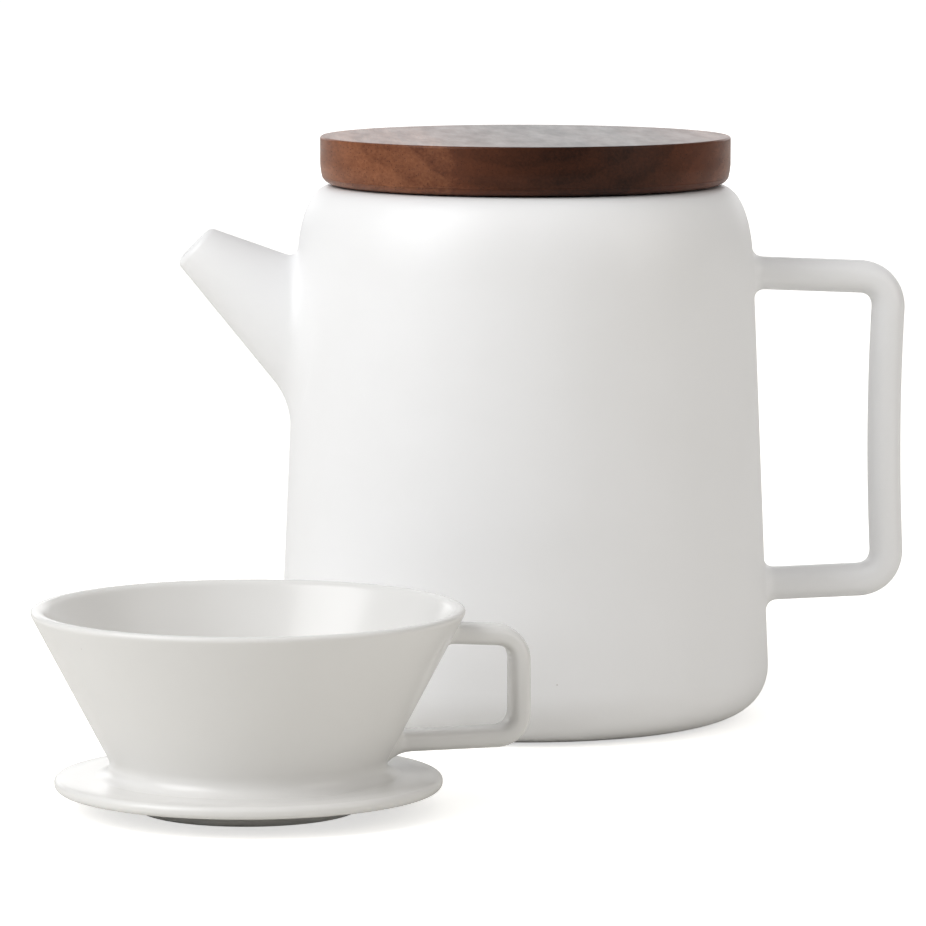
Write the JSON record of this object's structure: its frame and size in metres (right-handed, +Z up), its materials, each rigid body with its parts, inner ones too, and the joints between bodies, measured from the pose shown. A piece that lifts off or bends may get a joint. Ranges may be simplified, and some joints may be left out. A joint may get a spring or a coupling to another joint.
{
  "type": "teapot with pour-over dripper",
  "caption": "Straight-sided glazed pot with a short tapered spout, square loop handle and flat wooden lid, beside a wide conical pour-over dripper on a round flange.",
  "frame": {"origin": "centre of the footprint of the whole set, on the surface that it stands on", "axes": "+Z up, +X towards the pot's handle (turned 3 degrees past it), -Y from the pot towards the dripper in front of it"},
  "size_m": [0.2306, 0.2816, 0.1617],
  "materials": {
    "pot_glaze": "satin white glaze",
    "dripper_glaze": "soft gloss warm white glaze",
    "walnut": "oiled walnut",
    "silicone": "matt translucent white silicone"
  },
  "bodies": {
    "pot": {"pot_body": "pot_glaze", "pot_spout": "pot_glaze", "pot_handle": "pot_glaze"},
    "lid": {"lid_disc": "walnut", "lid_plug": "walnut", "lid_seal": "silicone"},
    "dripper": {"dripper_cone": "dripper_glaze", "dripper_flange": "dripper_glaze", "dripper_collar": "dripper_glaze", "dripper_handle": "dripper_glaze"}
  },
  "joints": [
    {"name": "lid_lift", "type": "slide", "parent": "pot", "child": "lid", "axis": [0, 0, 1], "range_m": [0, 0.07]},
    {"name": "dripper_lift", "type": "slide", "parent": "pot", "child": "dripper", "axis": [0, 0, 1], "range_m": [0, 0.17]}
  ]
}
